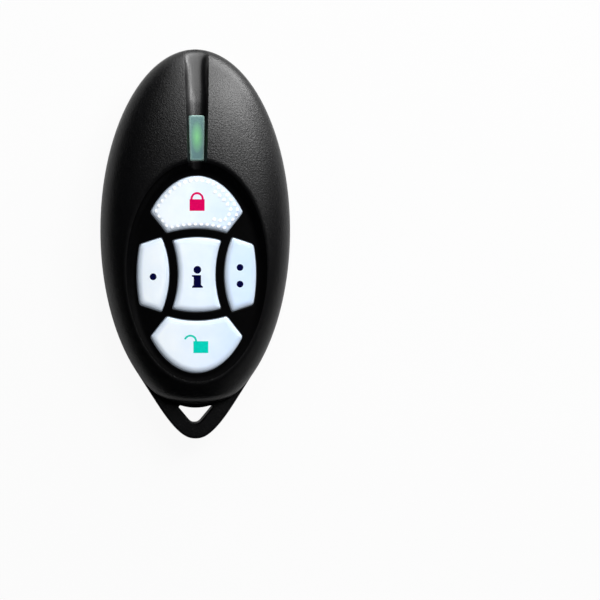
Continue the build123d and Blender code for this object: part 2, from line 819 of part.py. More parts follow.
# The two screws, driven from the back
with BuildPart() as case_screws:
    head_base = screw_recess_depth - screw_head_height
    with BuildSketch(level(head_base)):
        with Locations(*screw_places):
            Circle(screw_head_radius)
    extrude(amount=screw_head_height)
    with BuildSketch(level(screw_recess_depth)):
        with Locations(*screw_places):
            Circle(screw_shank_radius)
    extrude(amount=screw_shank_length)
    chamfer(case_screws.edges().filter_by(GeomType.CIRCLE).group_by(Axis.Z)[-1],
            screw_point_length, screw_shank_radius / 2)
    with BuildSketch(level(head_base)):
        with Locations(*screw_places):
            Rectangle(drive_length, drive_width)
            Rectangle(drive_width, drive_length)
    extrude(amount=drive_depth, mode=Mode.SUBTRACT)
case_screws.part.label = "case_screws"
export_step(case_screws.part, "parts/case_screws.step")
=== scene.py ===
import math

import bpy
import numpy as np
from mathutils import Matrix, Vector, kdtree
from mathutils.geometry import delaunay_2d_cdt


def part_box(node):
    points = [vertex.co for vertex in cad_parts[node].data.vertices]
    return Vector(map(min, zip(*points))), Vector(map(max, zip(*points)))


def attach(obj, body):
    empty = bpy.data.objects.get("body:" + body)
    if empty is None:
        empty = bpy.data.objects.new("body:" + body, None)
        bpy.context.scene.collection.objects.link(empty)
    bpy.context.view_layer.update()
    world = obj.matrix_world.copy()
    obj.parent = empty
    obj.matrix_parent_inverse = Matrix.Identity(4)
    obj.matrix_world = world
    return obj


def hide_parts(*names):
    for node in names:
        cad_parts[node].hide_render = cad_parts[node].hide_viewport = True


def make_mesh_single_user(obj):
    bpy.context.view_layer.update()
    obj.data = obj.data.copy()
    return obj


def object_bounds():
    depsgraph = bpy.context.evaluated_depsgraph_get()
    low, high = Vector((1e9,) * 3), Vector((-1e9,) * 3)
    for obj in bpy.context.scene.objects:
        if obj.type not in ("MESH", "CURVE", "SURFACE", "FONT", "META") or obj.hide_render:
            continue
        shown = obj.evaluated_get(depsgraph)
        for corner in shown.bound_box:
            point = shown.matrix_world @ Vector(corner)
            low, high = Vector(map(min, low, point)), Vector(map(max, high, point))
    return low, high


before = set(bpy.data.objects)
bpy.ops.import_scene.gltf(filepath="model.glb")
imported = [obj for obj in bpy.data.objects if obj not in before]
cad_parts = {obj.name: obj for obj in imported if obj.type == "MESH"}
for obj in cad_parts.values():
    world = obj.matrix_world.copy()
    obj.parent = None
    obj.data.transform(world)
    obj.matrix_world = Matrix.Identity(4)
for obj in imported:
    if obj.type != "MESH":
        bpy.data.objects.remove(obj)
cad_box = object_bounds()

# Every size below is in millimetres, and MM takes it to the frame's metres.
MM = 0.001


# Rear shell
# The back of the case, injection moulded in black ABS. Its tool was spark eroded, which leaves a fine
# matt grain outside; the pointed end carries the eye for a key ring, broken at its edges.
grain_pitch = 0.34           # real spark grain is about half as coarse, and wouldn't show at this size
grain_depth = 0.055
patch_edges = 0.35, 0.65     # between these parts of a pattern one tone goes over to the other
weld_distance = 0.0005
smooth_angle = math.radians(13)


def linear(hex_colour):
    """An sRGB hex colour as the linear RGBA that a socket takes."""
    channels = [int(hex_colour[at:at + 2], 16) / 255 for at in (1, 3, 5)]
    return tuple(c / 12.92 if c <= 0.04045 else ((c + 0.055) / 1.055) ** 2.4 for c in channels) + (1.0,)


def add(tree, kind, sockets=None, **settings):
    """Adds a node with its settings; sockets takes values, or outputs to link."""
    node = tree.nodes.new(kind)
    for name, value in settings.items():
        setattr(node, name, value)
    for name, value in (sockets or {}).items():
        if isinstance(value, bpy.types.NodeSocket):
            tree.links.new(value, node.inputs[name])
        else:
            node.inputs[name].default_value = value
    return node


def finish_named(name, sockets):
    """A material of one Principled shader: returns it, its tree and its shader."""
    made = bpy.data.materials.new(name)
    made.use_nodes = True
    shader = made.node_tree.nodes["Principled BSDF"]
    for socket, value in sockets.items():
        shader.inputs[socket].default_value = value
    return made, made.node_tree, shader


def mottled(tree, shader, light, dark, size, detail=2.0):
    """Colours a shader in soft patches of two tones, about this large; returns their pattern."""
    place = add(tree, "ShaderNodeTexCoord")
    noise = add(tree, "ShaderNodeTexNoise", {"Vector": place.outputs["Object"], "Detail": detail,
                                            "Scale": 1 / (size * MM), "Roughness": 0.6})
    ramp = add(tree, "ShaderNodeValToRGB", {"Fac": noise.outputs["Fac"]})
    for stop, position, tone in zip(ramp.color_ramp.elements, patch_edges, (dark, light)):
        stop.position, stop.color = position, linear(tone)
    tree.links.new(ramp.outputs["Color"], shader.inputs["Base Color"])
    return noise


def relief(tree, shader, height, depth):
    """Raises a shader's surface by a height output, this many millimetres from 0 to 1."""
    bump = add(tree, "ShaderNodeBump", {"Height": height, "Strength": 1.0, "Distance": depth * MM})
    tree.links.new(bump.outputs["Normal"], shader.inputs["Normal"])


# Spark-eroded black ABS: the grain breaks a highlight up into fine specks.
eroded_abs, tree, shader = finish_named("spark_eroded_black_abs", {"Roughness": 0.3, "IOR": 1.5,
                                                                    "Specular IOR Level": 0.42})
mottled(tree, shader, "#050506", "#030304", 1.8)
place = add(tree, "ShaderNodeTexCoord")
grain = add(tree, "ShaderNodeTexNoise", {"Vector": place.outputs["Object"], "Detail": 3.0,
                                        "Scale": 1 / (grain_pitch * MM), "Roughness": 0.65})
relief(tree, shader, grain.outputs["Fac"], grain_depth)

# Polished black ABS: the same plastic where its tool was polished, so reflections stay whole.
polished_abs, tree, shader = finish_named("polished_black_abs", {"Roughness": 0.3, "IOR": 1.5,
                                                               "Specular IOR Level": 0.45})
noise = mottled(tree, shader, "#050506", "#030304", 3.0)
relief(tree, shader, noise.outputs["Fac"], 0.002)

# Blasted black ABS: fine glass beads dulled the tool, so little comes back and it looks the blackest.
blasted_abs, tree, shader = finish_named("bead_blasted_black_abs", {"Roughness": 0.34, "IOR": 1.5,
                                                                 "Specular IOR Level": 0.08})
noise = mottled(tree, shader, "#030304", "#020202", 0.9, 4.0)
relief(tree, shader, noise.outputs["Fac"], 0.004)


def own_mesh(name, vertices, faces):
    """A new object at the origin from vertices in millimetres."""
    mesh = bpy.data.meshes.new(name)
    mesh.from_pydata([(x * MM, y * MM, z * MM) for x, y, z in vertices], [], faces)
    mesh.validate()
    piece = bpy.data.objects.new(name, mesh)
    bpy.context.scene.collection.objects.link(piece)
    return piece


def merged_copy(node, name):
    """A copy of a CAD node with its loose triangles merged, and smooth over its gentle edges."""
    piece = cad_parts[node].copy()
    piece.data = piece.data.copy()
    piece.name = name
    piece.parent = None
    piece.data.materials.clear()
    bpy.context.scene.collection.objects.link(piece)
    weld = piece.modifiers.new("weld", "WELD")
    weld.merge_threshold = weld_distance * MM
    mesh = bpy.data.meshes.new_from_object(piece.evaluated_get(bpy.context.evaluated_depsgraph_get()))
    piece.modifiers.clear()
    piece.data = mesh
    mesh.shade_smooth()
    mesh.set_sharp_from_angle(angle=smooth_angle)
    weighted = piece.modifiers.new("weighted_normals", "WEIGHTED_NORMAL")
    weighted.keep_sharp = True
    return piece


rear_case = merged_copy("rear_shell", "rear_case")
rear_case.data.materials.append(eroded_abs)
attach(rear_case, "housing")
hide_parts("rear_shell")


def finish_node(node, material):
    """Gives a carried-over CAD node its one material."""
    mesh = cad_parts[node].data
    mesh.materials.clear()
    mesh.materials.append(material)


# Coin cell
# A 20 mm lithium cell with a pressed nickel-plated steel can, brushed in tumbling and a little
# stained. It lies with its can towards the back, in the ring that the rear shell moulds round it.
tumbled_nickel, tree, shader = finish_named("tumbled_nickel_plate", {"Metallic": 1.0, "Roughness": 0.28})
noise = mottled(tree, shader, "#c9c8c4", "#a9a8a3", 2.4)
relief(tree, shader, noise.outputs["Fac"], 0.01)
finish_node("coin_cell", tumbled_nickel)


# Battery retainer
# A strap folded from spring steel strip. Its rolling lines run along the strap, and it is soldered to
# the board by its two feet, so that it takes the cell's positive side.
rolled_steel, tree, shader = finish_named("rolled_spring_steel", {"Metallic": 1.0, "Roughness": 0.34})
place = add(tree, "ShaderNodeTexCoord")
stretch = add(tree, "ShaderNodeMapping", {"Vector": place.outputs["Object"], "Scale": (0.04, 1.0, 1.0)})
lines = add(tree, "ShaderNodeTexNoise", {"Vector": stretch.outputs["Vector"], "Scale": 1 / (0.12 * MM)})
ramp = add(tree, "ShaderNodeValToRGB", {"Fac": lines.outputs["Fac"]})
for stop, tone in zip(ramp.color_ramp.elements, ("#9b9a96", "#c4c3bf")):
    stop.color = linear(tone)
tree.links.new(ramp.outputs["Color"], shader.inputs["Base Color"])
relief(tree, shader, lines.outputs["Fac"], 0.004)
finish_node("battery_retainer", rolled_steel)


# Negative contact
# A stamped disc of tin-plated bronze between the board and the cell. The tin is dull and slightly
# mottled, as it comes from the plating bath.
dull_tin, tree, shader = finish_named("tin_plated_bronze", {"Metallic": 1.0, "Roughness": 0.4})
noise = mottled(tree, shader, "#cfcfcb", "#b3b2ad", 0.9)
relief(tree, shader, noise.outputs["Fac"], 0.006)
finish_node("negative_contact", dull_tin)


# Circuit board
# Glass-fibre laminate under green solder mask. The weave below shows through the mask as a faint
# square pattern, 0.5 mm from thread to thread.
weave_pitch = 0.5
solder_mask, tree, shader = finish_named("solder_masked_laminate", {"Roughness": 0.3, "Coat Weight": 0.4,
                                                                   "Coat Roughness": 0.12})
place = add(tree, "ShaderNodeTexCoord")
threads = []
for direction in ("X", "Y"):
    wave = add(tree, "ShaderNodeTexWave", {"Vector": place.outputs["Object"], "Distortion": 0.4,
                                          "Scale": math.pi / (10 * weave_pitch * MM)},
               bands_direction=direction)
    threads.append(wave.outputs["Fac"])
weave = add(tree, "ShaderNodeMath", operation="MULTIPLY")
tree.links.new(threads[0], weave.inputs[0])
tree.links.new(threads[1], weave.inputs[1])
ramp = add(tree, "ShaderNodeValToRGB", {"Fac": weave.outputs["Value"]})
for stop, tone in zip(ramp.color_ramp.elements, ("#0c5a30", "#14713d")):
    stop.color = linear(tone)
tree.links.new(ramp.outputs["Color"], shader.inputs["Base Color"])
relief(tree, shader, weave.outputs["Value"], 0.008)
finish_node("pcb", solder_mask)


# Contact fields and aerial
# Copper printed on the board and flashed with gold: round fields under the keys' pills, and the loop
# aerial along the board's upper end. The gold is thin, so the copper's etched edge warms it.
for node, name, light, dark in (("contact_pads", "flashed_gold_fields", "#e0bd6a", "#c39a48"),
                                ("antenna_track", "flashed_gold_track", "#d3a257", "#b5823f")):
    gold, tree, shader = finish_named(name, {"Metallic": 1.0, "Roughness": 0.3})
    noise = mottled(tree, shader, light, dark, 0.7)
    relief(tree, shader, noise.outputs["Fac"], 0.003)
    finish_node(node, gold)


# Chips, crystal and passives
# Transfer-moulded epoxy packages with a matt, faintly sandy face, a nickel-plated crystal can, and
# fired ceramic chips. All are soldered to the board's underside by reflow.
moulded_epoxy, tree, shader = finish_named("transfer_moulded_epoxy", {"Roughness": 0.6})
noise = mottled(tree, shader, "#232326", "#17171a", 0.15)
relief(tree, shader, noise.outputs["Fac"], 0.012)
for node in ("controller_chip", "radio_chip"):
    finish_node(node, moulded_epoxy)

crystal_can, tree, shader = finish_named("nickel_plated_can", {"Metallic": 1.0, "Roughness": 0.22})
noise = mottled(tree, shader, "#c8c6c0", "#b1afa9", 1.2)
relief(tree, shader, noise.outputs["Fac"], 0.004)
finish_node("crystal", crystal_can)

fired_ceramic, tree, shader = finish_named("fired_ceramic_chip", {"Roughness": 0.5})
noise = mottled(tree, shader, "#a98760", "#8a6a47", 0.2)
relief(tree, shader, noise.outputs["Fac"], 0.006)
finish_node("passives", fired_ceramic)


# Status lamp
# A surface-mount lamp in white reflector plastic, with a clear epoxy cap that is slightly milky.
lamp_body, tree, shader = finish_named("milky_lamp_epoxy", {"Roughness": 0.22, "Coat Weight": 0.5,
                                                           "Subsurface Weight": 0.2,
                                                           "Subsurface Scale": 0.4 * MM})
noise = mottled(tree, shader, "#f2f5ee", "#dfe8da", 0.5)
relief(tree, shader, noise.outputs["Fac"], 0.003)
finish_node("status_led", lamp_body)


# Keypad mat, posts and pills
# One moulding of grey silicone in the real fob: a mat on the board, and over each opening in it a thin
# cone that carries a post. In the real fob the cone folds as the key goes down; here it stays fixed to the
# housing. Silicone is matt and a little dusty.
moulded_silicone, tree, shader = finish_named("moulded_grey_silicone", {"Roughness": 0.68,
                                                                       "Sheen Weight": 0.25,
                                                                       "Sheen Roughness": 0.5,
                                                                       "Subsurface Weight": 0.1,
                                                                       "Subsurface Scale": 0.6 * MM})
noise = mottled(tree, shader, "#b7babd", "#a4a7aa", 1.1)
relief(tree, shader, noise.outputs["Fac"], 0.01)
finish_node("keypad_mat", moulded_silicone)

carbon_silicone, tree, shader = finish_named("carbon_filled_silicone", {"Roughness": 0.75})
noise = mottled(tree, shader, "#1d1d1e", "#121213", 0.2)
relief(tree, shader, noise.outputs["Fac"], 0.01)

KEYS = ("info_key", "lock_key", "unlock_key", "one_dot_key", "two_dot_key")
bell_wall = 0.35
bell_lean = 0.45             # how far the cone draws in from its foot to its neck
bell_knee = 0.12             # how far it has drawn in at its knee
outer_knee_share, inner_knee_share = 0.45, 0.4    # how high the knee is, outside and inside
bell_sides = 64


def turned(name, middle, profile, sides):
    """A closed profile of (radius, height) points turned round a vertical axis."""
    vertices = [(middle[0] + radius * math.cos(2 * math.pi * step / sides),
                 middle[1] + radius * math.sin(2 * math.pi * step / sides), height)
                for step in range(sides) for radius, height in profile]
    count = len(profile)
    faces = [(step * count + at, (step + 1) % sides * count + at,
              (step + 1) % sides * count + (at + 1) % count, step * count + (at + 1) % count)
             for step in range(sides) for at in range(count)]
    return own_mesh(name, vertices, faces)


for key in KEYS:
    finish_node(f"{key}_plunger", moulded_silicone)
    finish_node(f"{key}_pill", carbon_silicone)
    low, high = (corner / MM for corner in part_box(f"{key}_bell"))
    middle = (low + high) / 2
    foot, height = high.x - middle.x, high.z - low.z
    neck, knee = foot - bell_lean, foot - bell_knee
    cone = turned(f"{key}_cone", middle,
                  [(foot, low.z), (knee, low.z + outer_knee_share * height), (neck, high.z),
                   (neck - bell_wall, high.z), (knee - bell_wall, low.z + inner_knee_share * height),
                   (foot - bell_wall, low.z)], bell_sides)
    cone.data.materials.append(moulded_silicone)
    cone.data.shade_smooth()
    cone.data.set_sharp_from_angle(angle=2 * smooth_angle)
    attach(cone, "housing")
    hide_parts(f"{key}_bell")
    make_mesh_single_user(cone)


# Front shell
# The crown of the case, moulded in the same black ABS: eroded outside, blasted in the keypad's recess
# and polished in the groove. Five openings for the keys and one for the light guide go through it.
half_width = (cad_box[1].x - cad_box[0].x) / 2 / MM
oval_half_length = 36.2
oval_y = 2.8
crown_share = 0.62
crown_height = 14.0
lip_depth = 2.0
parting_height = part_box("front_shell")[0].z / MM + lip_depth
wall = 1.5
end_half_width = 17.5
end_half_length = 16.0
end_y = -16.05
end_blend = 0.03             # how softly the lower end's curve runs into the main one
keypad_y = -6.0
deck_height = 11.5
deck_slope = math.tan(math.radians(2.2))
deck_bow_radius = 90.0
deck_half_width = 13.94
deck_half_length = 21.0
deck_thickness = 1.3
deck_corner = 0.9
wall_search_steps = 12
rim_softness = 1.2
recess_overlap = 0.1         # how far the blasted face runs up over the recess's rim
groove_half_widths = ((15.0, 1.9), (40.0, 2.6))
groove_reach = 36.05
groove_rise = 6.65
groove_rim_softness = 0.12
groove_squareness = 3.0      # how flat the groove's floor stays before it turns up
groove_dip = 0.22            # share by which its floor sinks between these two places
groove_dip_start, groove_dip_end = 28.0, 37.0
groove_lip = 0.02            # how far its hollow rises past the crown at its edges
opening_clearance = 0.15
opening_edge = 0.2
opening_drop = 0.12
slot_clearance = 0.04
far_above = 99.0             # a height that no other surface reaches


def soft_max(first, second, blend):
    """The larger of two, rounded where they cross within blend of each other."""
    near = np.clip(blend - np.abs(first - second), 0, None) / blend
    return np.maximum(first, second) + near * near * blend / 4


def soft_min(first, second, blend):
    """The smaller of two, rounded where they cross."""
    return -soft_max(-first, -second, blend)


curve_steps = np.linspace(0, 1, 4001)
curve_reach = (3 * (1 - curve_steps) ** 2 * curve_steps * crown_share
               + 3 * (1 - curve_steps) * curve_steps ** 2 + curve_steps ** 3)
curve_rise = ((1 - curve_steps) ** 3 + 3 * (1 - curve_steps) ** 2 * curve_steps
              + 3 * (1 - curve_steps) * curve_steps ** 2 * crown_share)


def rise_at(reach):
    """Height of the crown's curve, 1 over its middle and 0 at its edge."""
    return np.interp(reach, curve_reach, curve_rise)


def crown_reach(x, y, inset=0.0):
    """0 over the crown's middle and 1 on its outline, drawn in by inset."""
    main = np.hypot(x / (half_width - inset), (y - oval_y) / (oval_half_length - inset))
    end = np.hypot(x / (end_half_width - inset), (y - end_y) / (end_half_length - inset))
    return soft_max(main, np.where(y < end_y, end, 0), end_blend)


def crown(x, y, inset=0.0):
    """Height of the crown, drawn in by inset; the parting plane beyond its outline."""
    return parting_height + (crown_height - parting_height - inset) * rise_at(crown_reach(x, y, inset))


def deck(x, y):
    """Height of the tilted and bowed deck."""
    bow = deck_bow_radius - np.sqrt(deck_bow_radius ** 2 - x ** 2)
    return deck_height + (y - keypad_y) * deck_slope - bow


def recess_wall(x, y):
    """Height of the recess's leaning wall: it goes out one millimetre for each millimetre up."""
    along = y - keypad_y
    rise = np.zeros_like(x * along)
    for _ in range(wall_search_steps):
        width, length = deck_half_width + rise, deck_half_length + rise
        reach = np.maximum(np.hypot(x / width, along / length), 1e-6)
        steepness = x ** 2 / width ** 3 + along ** 2 / length ** 3 + 1e-9
        rise = np.maximum(rise + (reach - 1) * reach / steepness, -deck_half_width / 2)
    return deck_height + along * deck_slope + rise


def groove_half_width(y):
    """Half the groove's width, which grows towards the top."""
    (low_y, low), (high_y, high) = groove_half_widths
    return low + (high - low) * (y - low_y) / (high_y - low_y)


def groove_floor(y):
    """Height of the groove's floor along its middle, which sinks a little towards its open end."""
    gone = np.clip((y - groove_dip_start) / (groove_dip_end - groove_dip_start), 0, 1)
    rise = groove_rise * (1 - groove_dip * gone * gone * (3 - 2 * gone))
    return parting_height + rise * rise_at(np.clip((y - oval_y) / groove_reach, 0, 1))


def groove(x, y):
    """Height of the hollow groove; far above everything outside its edges."""
    across = np.clip(np.abs(x) / groove_half_width(y), 0, 1)
    rim = crown(groove_half_width(y), y) + groove_lip
    hollow = groove_floor(y) + (rim - groove_floor(y)) * across ** groove_squareness
    return np.where((y > keypad_y) & (across < 1), hollow, far_above)


info_end_radius, info_end_offset = 18.0, 10.6485
waist_radius, waist_offset = 20.4, 24.0403
key_gap = 1.9
keys_half_width, keys_half_length = 11.8, 19.5
slant_x, slant_y, slant_angle = 5.829, 8.2095, math.radians(51.7)
side_x, side_y, side_angle = 7.4505, 7.209, math.radians(18.3)
key_corner = 0.47


def in_oval(x, y):
    """Signed distance from the oval round all the keys, below 0 inside."""
    reach = np.maximum(np.hypot(x / keys_half_width, y / keys_half_length), 1e-6)
    return (reach - 1) * reach / np.hypot(x / keys_half_width ** 2, y / keys_half_length ** 2)


def key_edge(key, x, world_y):
    """Signed distance from one key's outline, below 0 inside."""
    y = world_y - keypad_y
    if key == "info_key":
        limits = [np.hypot(x, y + info_end_offset) - info_end_radius,
                  np.hypot(x, y - info_end_offset) - info_end_radius,
                  waist_radius - np.hypot(x - waist_offset, y),
                  waist_radius - np.hypot(x + waist_offset, y)]
    elif key in ("lock_key", "unlock_key"):
        end = 1 if key == "lock_key" else -1
        limits = [in_oval(x, y), info_end_radius + key_gap - np.hypot(x, y + end * info_end_offset)]
        limits += [(side * x - slant_x) * math.sin(slant_angle)
                   - (end * y - slant_y) * math.cos(slant_angle) for side in (-1, 1)]
    else:
        side = -1 if key == "one_dot_key" else 1
        limits = [in_oval(x, y), np.hypot(x - side * waist_offset, y) - (waist_radius - key_gap)]
        limits += [(side * x - side_x) * math.sin(side_angle)
                   + (end * y - side_y) * math.cos(side_angle) for end in (-1, 1)]
    edge = limits[0]
    for limit in limits[1:]:
        edge = soft_max(edge, limit, key_corner)
    return edge


window_low_y, window_top_y = 16.6, 25.6
window_low_half_width, window_top_half_width = 1.37, 1.62
window_corner = 0.3


def window_edge(x, y):
    """Signed distance from the light guide's tapering outline."""
    lean = (window_top_half_width - window_low_half_width) / (window_top_y - window_low_y)
    side = np.abs(x) - window_low_half_width - lean * (y - window_low_y)
    return soft_max(side, soft_max(y - window_top_y, window_low_y - y, window_corner), window_corner)


def opening_round(depth_from_edge):
    """How far an opening's rounded edge has dropped, by the distance from it."""
    share = np.clip(1 - depth_from_edge / opening_edge, 0, 1)
    return opening_drop * (1 - np.sqrt(1 - share ** 2))


def shell_top(x, y):
    """Height of the front shell's outside."""
    hollow = soft_max(deck(x, y), recess_wall(x, y), deck_corner)
    height = soft_min(crown(x, y), hollow, rim_softness)
    height = soft_min(height, groove(x, y), groove_rim_softness)
    for key in KEYS:
        height = height - opening_round(key_edge(key, x, y) - opening_clearance)
    return height


def shell_under(x, y):
    """Height of the front shell's inside."""
    inner = np.where(crown_reach(x, y, wall) < 1, crown(x, y, wall), parting_height)
    return np.maximum(np.minimum(inner, shell_top(x, y) - deck_thickness), parting_height)


outline_search_reach = 45.0
key_search_reach = 16.0
window_search_reach = 9.0
search_halvings = 44
search_rays = 1440
fewest_points = 12


def contour(edge, value, middle, spacing, reach=outline_search_reach):
    """Points this far apart on the closed line round a middle where edge(x, y) equals value."""
    angles = np.linspace(0, 2 * math.pi, search_rays, endpoint=False)
    near, far = np.zeros_like(angles), np.full_like(angles, reach)
    for _ in range(search_halvings):
        half = (near + far) / 2
        inside = edge(middle[0] + half * np.cos(angles), middle[1] + half * np.sin(angles)) < value
        near, far = np.where(inside, half, near), np.where(inside, far, half)
    fine = np.stack([middle[0] + near * np.cos(angles), middle[1] + near * np.sin(angles)], 1)
    steps = np.hypot(*(np.roll(fine, -1, 0) - fine).T)
    along = np.concatenate([[0], np.cumsum(steps)])
    count = max(fewest_points, round(along[-1] / spacing))
    wanted = np.arange(count) * along[-1] / count
    closed = np.vstack([fine, fine[:1]])
    return np.stack([np.interp(wanted, along, closed[:, 0]), np.interp(wanted, along, closed[:, 1])], 1)


fill_row_share = 0.866       # from row to row the filling points are this share of their spacing apart
fill_clear_share = 0.62      # and they keep this share of it away from the lines
same_point = 1e-5


def filled_plan(rows, spacing, keep):
    """Triangles over a plan, with edges along rows of (points, closed), where keep(x, y) is true."""
    points, edges = [], []
    for row, closed in rows:
        first = len(points)
        points.extend(map(tuple, row))
        edges.extend((first + at, first + at + 1) for at in range(len(row) - 1))
        if closed:
            edges.append((first + len(row) - 1, first))
    tree = kdtree.KDTree(len(points))
    for at, (x, y) in enumerate(points):
        tree.insert((x, y, 0), at)
    tree.balance()
    low, high = np.min(points, 0), np.max(points, 0)
    grid_x, grid_y = np.meshgrid(np.arange(low[0], high[0], spacing),
                                 np.arange(low[1], high[1], spacing * fill_row_share))
    grid_x[1::2] += spacing / 2
    grid_x, grid_y = grid_x.ravel(), grid_y.ravel()
    inside = keep(grid_x, grid_y)
    points.extend((x, y) for x, y in zip(grid_x[inside], grid_y[inside])
                  if tree.find((x, y, 0))[2] > fill_clear_share * spacing)
    found = delaunay_2d_cdt([Vector(point) for point in points], edges, [], 0, same_point)
    plan = np.array([tuple(point) for point in found[0]])
    faces = np.array([face for face in found[2] if len(face) == 3])
    middles = plan[faces].mean(1)
    return plan, faces[keep(middles[:, 0], middles[:, 1])]


slope_step = 0.004
wall_cosine = 0.75           # a face turned further than this from its slope is a wall
closed_below = 1e-3          # where top and underside are nearer than this, they meet


def slope_normals(height, x, y):
    """Upward unit normals of a height function."""
    across = (height(x + slope_step, y) - height(x - slope_step, y)) / (2 * slope_step)
    along = (height(x, y + slope_step) - height(x, y - slope_step)) / (2 * slope_step)
    normals = np.stack([-across, -along, np.ones_like(x)], 1)
    return normals / np.linalg.norm(normals, axis=1)[:, None]


def from_mesh(items, name, kind, width=1):
    """One value, or a row of them, from each of a mesh's items."""
    values = np.empty(len(items) * width, kind)
    items.foreach_get(name, values)
    return values.reshape(-1, width) if width > 1 else values


def shade_by_slope(mesh, places, top_normals, under_normals):
    """Gives a solid its height functions' normals, and its walls the mean of their own."""
    mesh.shade_smooth()
    faced = np.repeat(from_mesh(mesh.polygons, "normal", float, 3),
                      from_mesh(mesh.polygons, "loop_total", int), 0)
    corner = from_mesh(mesh.loops, "vertex_index", int)
    wanted = np.where(faced[:, 2:] > 0, top_normals[places[corner]], under_normals[places[corner]])
    wall_corner = (wanted * faced).sum(1) < wall_cosine
    walls = np.zeros((len(mesh.vertices), 3))
    np.add.at(walls, corner[wall_corner], faced[wall_corner])
    walls /= np.maximum(np.linalg.norm(walls, axis=1), 1e-9)[:, None]
    wanted[wall_corner] = walls[corner[wall_corner]]
    mesh.normals_split_custom_set(wanted)


def moulding(name, plan, faces, top, under):
    """A closed solid between two height functions over a plan, shaded by their true normals."""
    used, faces = np.unique(faces, return_inverse=True)
    faces = faces.reshape(-1, 3)
    x, y = plan[used, 0], plan[used, 1]
    upper, lower = top(x, y), under(x, y)
    meet = upper - lower < closed_below
    lower_index = np.where(meet, np.arange(len(x)), len(x) + np.cumsum(~meet) - 1)
    first, second, third = (plan[used][faces[:, at]] for at in range(3))
    area = np.cross(second - first, third - first)
    faces = np.where(area[:, None] > 0, faces, faces[:, ::-1])
    sides = {edge: True for a, b, c in faces for edge in ((a, b), (b, c), (c, a))}
    rim = [edge for edge in sides if (edge[1], edge[0]) not in sides]
    walls = []
    for a, b in rim:
        corners = [lower_index[b], b, a, lower_index[a]]
        wall_face = [corner for at, corner in enumerate(corners) if corner not in corners[:at]]
        if len(wall_face) > 2:
            walls.append(wall_face)
    vertices = np.concatenate([np.stack([x, y, upper], 1), np.stack([x, y, lower], 1)[~meet]])
    under_faces = [face for face in lower_index[faces[:, ::-1]] if any(at >= len(x) for at in face)]
    piece = own_mesh(name, vertices, [list(map(int, face)) for face in [*faces, *under_faces, *walls]])
    shade_by_slope(piece.data, np.concatenate([np.arange(len(x)), np.flatnonzero(~meet)]),
                   slope_normals(top, x, y), -slope_normals(under, x, y))
    return piece


keypad_middle = (0, keypad_y)
crown_steps = (1.0, 0.97, 0.94, 0.91, 0.875, 0.84, 0.8, 0.76, 0.72, 0.68)
inside_values = (1.0, 0.985, 0.95)
corner_offsets = (-0.7, -0.35, 0.0, 0.35, 0.7)
rim_offsets = (-0.45, -0.22, -0.1, 0.0, 0.1, 0.22, 0.45)
opening_distances = (0.0, 0.03, 0.08, 0.14, opening_edge)
slot_distances = (slot_clearance, 0.12)
groove_shares = (0.55, 0.75, 0.87, 0.94, 0.975, 0.995, 1.0, 1.015, 1.04, 1.08)
groove_rows_start, groove_rows_end = 14.2, 38.95
outline_limit = 0.9999
crown_spacing, inside_spacing, rim_spacing = 0.42, 0.6, 0.36
opening_spacing, slot_spacing, groove_spacing, shell_spacing = 0.28, 0.2, 0.3, 0.5


def crown_rows():
    """Lines over the crown: close together where it is steep, and round the inside's edge."""
    values = np.interp(crown_steps, curve_steps, curve_reach)
    rows = [contour(crown_reach, value, keypad_middle, crown_spacing) for value in values]
    rows += [contour(lambda x, y: crown_reach(x, y, wall), value, keypad_middle, inside_spacing)
             for value in inside_values]
    return [(row, True) for row in rows]


def recess_rows():
    """Lines round the deck's rounded corner and the recess's soft rim."""
    rows = [contour(lambda x, y: recess_wall(x, y) - deck(x, y), offset, keypad_middle, crown_spacing)
            for offset in corner_offsets]
    rows += [contour(lambda x, y: recess_wall(x, y) - crown(x, y), offset, keypad_middle, rim_spacing)
             for offset in rim_offsets]
    return [(row, True) for row in rows]


def key_middle(key):
    """A point well inside a key's outline."""
    low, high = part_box(key)
    return ((low.x + high.x) / 2 / MM, (low.y + high.y) / 2 / MM)


def opening_rows():
    """Lines on the edges of the key openings and of the slot, and just outside them."""
    rows = [contour(lambda x, y: key_edge(key, x, y), opening_clearance + distance, key_middle(key),
                    opening_spacing, key_search_reach) for key in KEYS for distance in opening_distances]
    rows += [contour(window_edge, distance, (0, (window_low_y + window_top_y) / 2), slot_spacing,
                     window_search_reach) for distance in slot_distances]
    return [(row, True) for row in rows]


def groove_rows():
    """Lines along the groove, closest at its two rims, up to the crown's outline."""
    rows = []
    along = np.arange(groove_rows_start, groove_rows_end, groove_spacing)
    for share in groove_shares:
        for side in (-1, 1):
            x = side * share * groove_half_width(along)
            within = crown_reach(x, along) < outline_limit
            rows.append((np.stack([x, along], 1)[within], False))
    return rows


def in_shell(x, y):
    """Inside the outline and outside every opening."""
    kept = (crown_reach(x, y) < 1) & (window_edge(x, y) > slot_clearance)
    for key in KEYS:
        kept &= key_edge(key, x, y) > opening_clearance
    return kept


rows = crown_rows() + recess_rows() + opening_rows() + groove_rows()
plan, faces = filled_plan(rows, shell_spacing, in_shell)
front_case = moulding("front_case", plan, faces, shell_top, shell_under)
for material in (eroded_abs, polished_abs, blasted_abs):
    front_case.data.materials.append(material)
x, y, z = from_mesh(front_case.data.polygons, "center", float, 3).T / MM
in_groove = (np.abs(x) < groove_half_width(y)) & (y > keypad_y)
in_recess = recess_wall(x, y) < crown(x, y) + recess_overlap
front_case.data.polygons.foreach_set("material_index",
                                     np.where(in_recess, 2, np.where(in_groove, 1, 0)))
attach(front_case, "housing")
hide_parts("front_shell")
